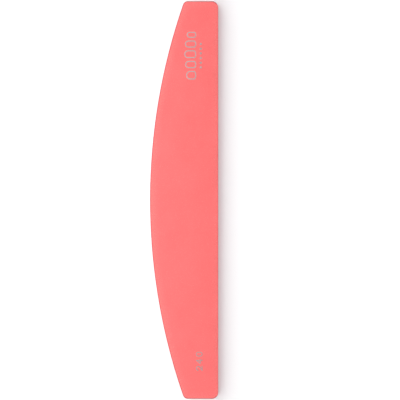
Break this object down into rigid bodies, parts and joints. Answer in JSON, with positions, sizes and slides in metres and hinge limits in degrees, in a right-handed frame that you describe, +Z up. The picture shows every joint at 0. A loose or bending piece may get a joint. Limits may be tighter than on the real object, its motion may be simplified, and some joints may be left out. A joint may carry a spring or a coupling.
{
  "type": "nail buffer board",
  "caption": "Flat half-moon nail buffer board: a stiff plastic core with foam and a coral-pink abrasive sheet bonded to each face, one edge straight, the other bowed, ends square.",
  "frame": {"origin": "middle of the outline's box, on the surface the board rests on", "axes": "+Z up, out of the printed face; +Y along the board towards the end with the emblem; +X towards the straight edge, so the bowed edge is at -X"},
  "size_m": [0.0305, 0.178, 0.0045],
  "materials": {
    "grit": "fine coral-pink abrasive grain in resin, matt, darker and smoother where the die burnished the rim",
    "backing": "thin latex-filled paper tinted pink, matt, seen only as a hairline at the edge",
    "adhesive": "clear acrylic tape, faintly yellow, slightly glossy at its cut edge",
    "foam": "coral closed-cell foam with fine cut cells on its sides, matt",
    "core": "white polystyrene sheet, die-cut edge with faint shear marks, satin",
    "silver_print": "dull silver hot-stamped foil, slightly broken where it bridges the grain"
  },
  "bodies": {
    "root": {"core_board": "core", "emblem_dots_print": "silver_print", "emblem_nails_print": "silver_print", "grit_number_print": "silver_print", "lower_backing_film": "backing", "lower_core_adhesive": "adhesive", "lower_film_adhesive": "adhesive", "lower_foam_pad": "foam", "lower_grit_coat": "grit", "upper_backing_film": "backing", "upper_core_adhesive": "adhesive", "upper_film_adhesive": "adhesive", "upper_foam_pad": "foam", "upper_grit_coat": "grit"}
  },
  "joints": []
}
